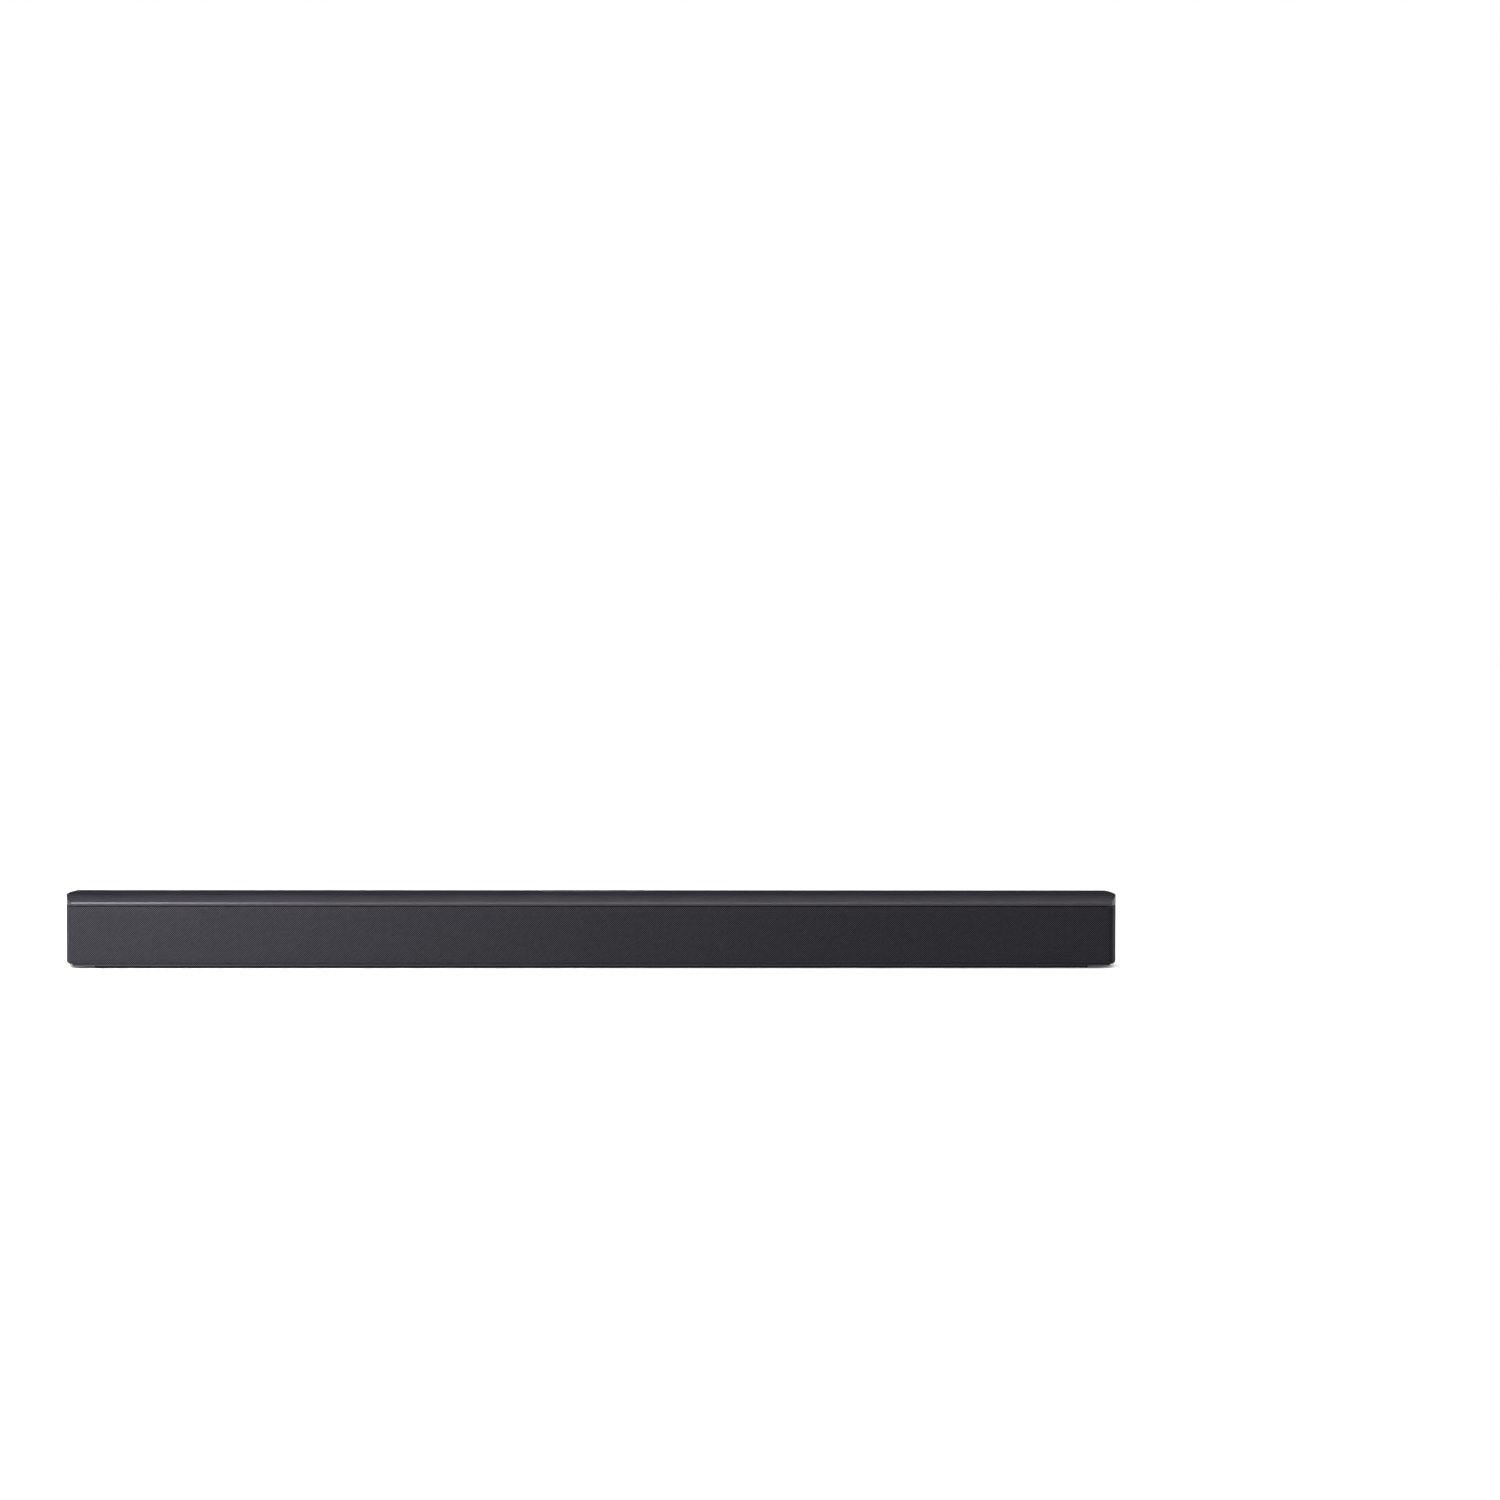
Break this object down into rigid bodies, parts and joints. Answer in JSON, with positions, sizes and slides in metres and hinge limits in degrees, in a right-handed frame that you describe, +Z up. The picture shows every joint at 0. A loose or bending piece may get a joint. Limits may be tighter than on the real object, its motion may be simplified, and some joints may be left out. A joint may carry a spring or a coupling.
{
  "type": "soundbar",
  "caption": "Compact television soundbar: bevelled top deck with push keys, wrap-round cloth grille, oblong drivers and a recessed rear connector bay.",
  "frame": {"origin": "middle of the footprint, on the surface the feet stand on", "axes": "+X along the bar to the right as seen from the front, +Y to the rear, +Z up; the front faces -Y"},
  "size_m": [0.86, 0.075, 0.059],
  "materials": {
    "deck_plastic": "fine satin moulded plastic, dark graphite with a violet tint",
    "grille_fabric": "fine staggered woven speaker cloth over a plastic frame",
    "housing_plastic": "black fine-textured moulded plastic",
    "base_plastic": "black matte moulded plastic",
    "foot_rubber": "matte black rubber",
    "key_plastic": null,
    "circuit_board": "green glass-epoxy board with solder mask",
    "stamped_steel": "bright stamped and plated steel",
    "driver_steel": "black painted pressed steel",
    "heat_sink_aluminium": "plain extruded aluminium",
    "insert_brass": "knurled brass",
    "coil_copper": "lacquered copper winding",
    "magnet_ferrite": "ferrite ring between plated plates",
    "cone_polypropylene": "black moulded polypropylene",
    "suspension_cloth": "resin-treated woven cloth",
    "surround_rubber": "soft black rubber",
    "socket_plastic": "black engineering plastic",
    "display_lens": "smoked display window",
    "lead_insulation": "flexible insulated lead"
  },
  "bodies": {
    "housing": {"top_cover": "deck_plastic", "grille_cloth": "grille_fabric", "grille_frame": "housing_plastic", "lower_chassis": "housing_plastic", "rear_panel": "housing_plastic", "front_baffle": "housing_plastic", "bottom_plate": "base_plastic", "foot_front_left": "foot_rubber", "foot_front_right": "foot_rubber", "foot_rear_left": "foot_rubber", "foot_rear_right": "foot_rubber", "left_driver_frame": "driver_steel", "left_driver_magnet": "magnet_ferrite", "left_driver_spider": "suspension_cloth", "left_driver_surround": "surround_rubber", "centre_driver_frame": "driver_steel", "centre_driver_magnet": "magnet_ferrite", "centre_driver_spider": "suspension_cloth", "centre_driver_surround": "surround_rubber", "right_driver_frame": "driver_steel", "right_driver_magnet": "magnet_ferrite", "right_driver_spider": "suspension_cloth", "right_driver_surround": "surround_rubber", "control_strip": "deck_plastic", "button_board": "circuit_board", "source_switch": "socket_plastic", "volume_down_switch": "socket_plastic", "volume_up_switch": "socket_plastic", "power_switch": "socket_plastic", "connector_bay": "housing_plastic", "dc_inlet": "socket_plastic", "hdmi_socket": "stamped_steel", "usb_socket": "stamped_steel", "optical_socket": "socket_plastic", "main_board": "circuit_board", "heat_sink": "heat_sink_aluminium", "wireless_module": "stamped_steel", "display_module": "display_lens", "left_speaker_lead": "lead_insulation", "centre_speaker_lead": "lead_insulation", "right_speaker_lead": "lead_insulation", "button_board_lead": "lead_insulation", "wall_insert_left": "insert_brass", "wall_insert_right": "insert_brass", "case_screw_left": "stamped_steel", "case_screw_right": "stamped_steel"},
    "source_key": {"source_button": "key_plastic"},
    "volume_down_key": {"volume_down_button": "key_plastic"},
    "volume_up_key": {"volume_up_button": "key_plastic"},
    "power_key": {"power_button": "key_plastic"},
    "left_cone": {"left_driver_cone": "cone_polypropylene", "left_driver_dust_cap": "cone_polypropylene", "left_driver_voice_coil": "coil_copper"},
    "centre_cone": {"centre_driver_cone": "cone_polypropylene", "centre_driver_dust_cap": "cone_polypropylene", "centre_driver_voice_coil": "coil_copper"},
    "right_cone": {"right_driver_cone": "cone_polypropylene", "right_driver_dust_cap": "cone_polypropylene", "right_driver_voice_coil": "coil_copper"},
    "optical_shutter": {"optical_shutter": "socket_plastic"}
  },
  "joints": [
    {"name": "source_press", "type": "slide", "parent": "housing", "child": "source_key", "axis": [0, 0, -1], "range_m": [0, 0.0004], "stiffness_N_per_m": 2500},
    {"name": "volume_down_press", "type": "slide", "parent": "housing", "child": "volume_down_key", "axis": [0, 0, -1], "range_m": [0, 0.0004], "stiffness_N_per_m": 2500},
    {"name": "volume_up_press", "type": "slide", "parent": "housing", "child": "volume_up_key", "axis": [0, 0, -1], "range_m": [0, 0.0004], "stiffness_N_per_m": 2500},
    {"name": "power_press", "type": "slide", "parent": "housing", "child": "power_key", "axis": [0, 0, -1], "range_m": [0, 0.0004], "stiffness_N_per_m": 2500},
    {"name": "left_cone_travel", "type": "slide", "parent": "housing", "child": "left_cone", "axis": [0, -1, 0], "range_m": [-0.002, 0.002], "stiffness_N_per_m": 1500},
    {"name": "centre_cone_travel", "type": "slide", "parent": "housing", "child": "centre_cone", "axis": [0, -1, 0], "range_m": [-0.002, 0.002], "stiffness_N_per_m": 1500},
    {"name": "right_cone_travel", "type": "slide", "parent": "housing", "child": "right_cone", "axis": [0, -1, 0], "range_m": [-0.002, 0.002], "stiffness_N_per_m": 1500},
    {"name": "shutter_swing", "type": "hinge", "parent": "housing", "child": "optical_shutter", "pos_m": [0.186, 0.0142, 0.0229], "axis": [-1, 0, 0], "range_deg": [0, 80], "stiffness_Nm_per_rad": 0.0005}
  ]
}
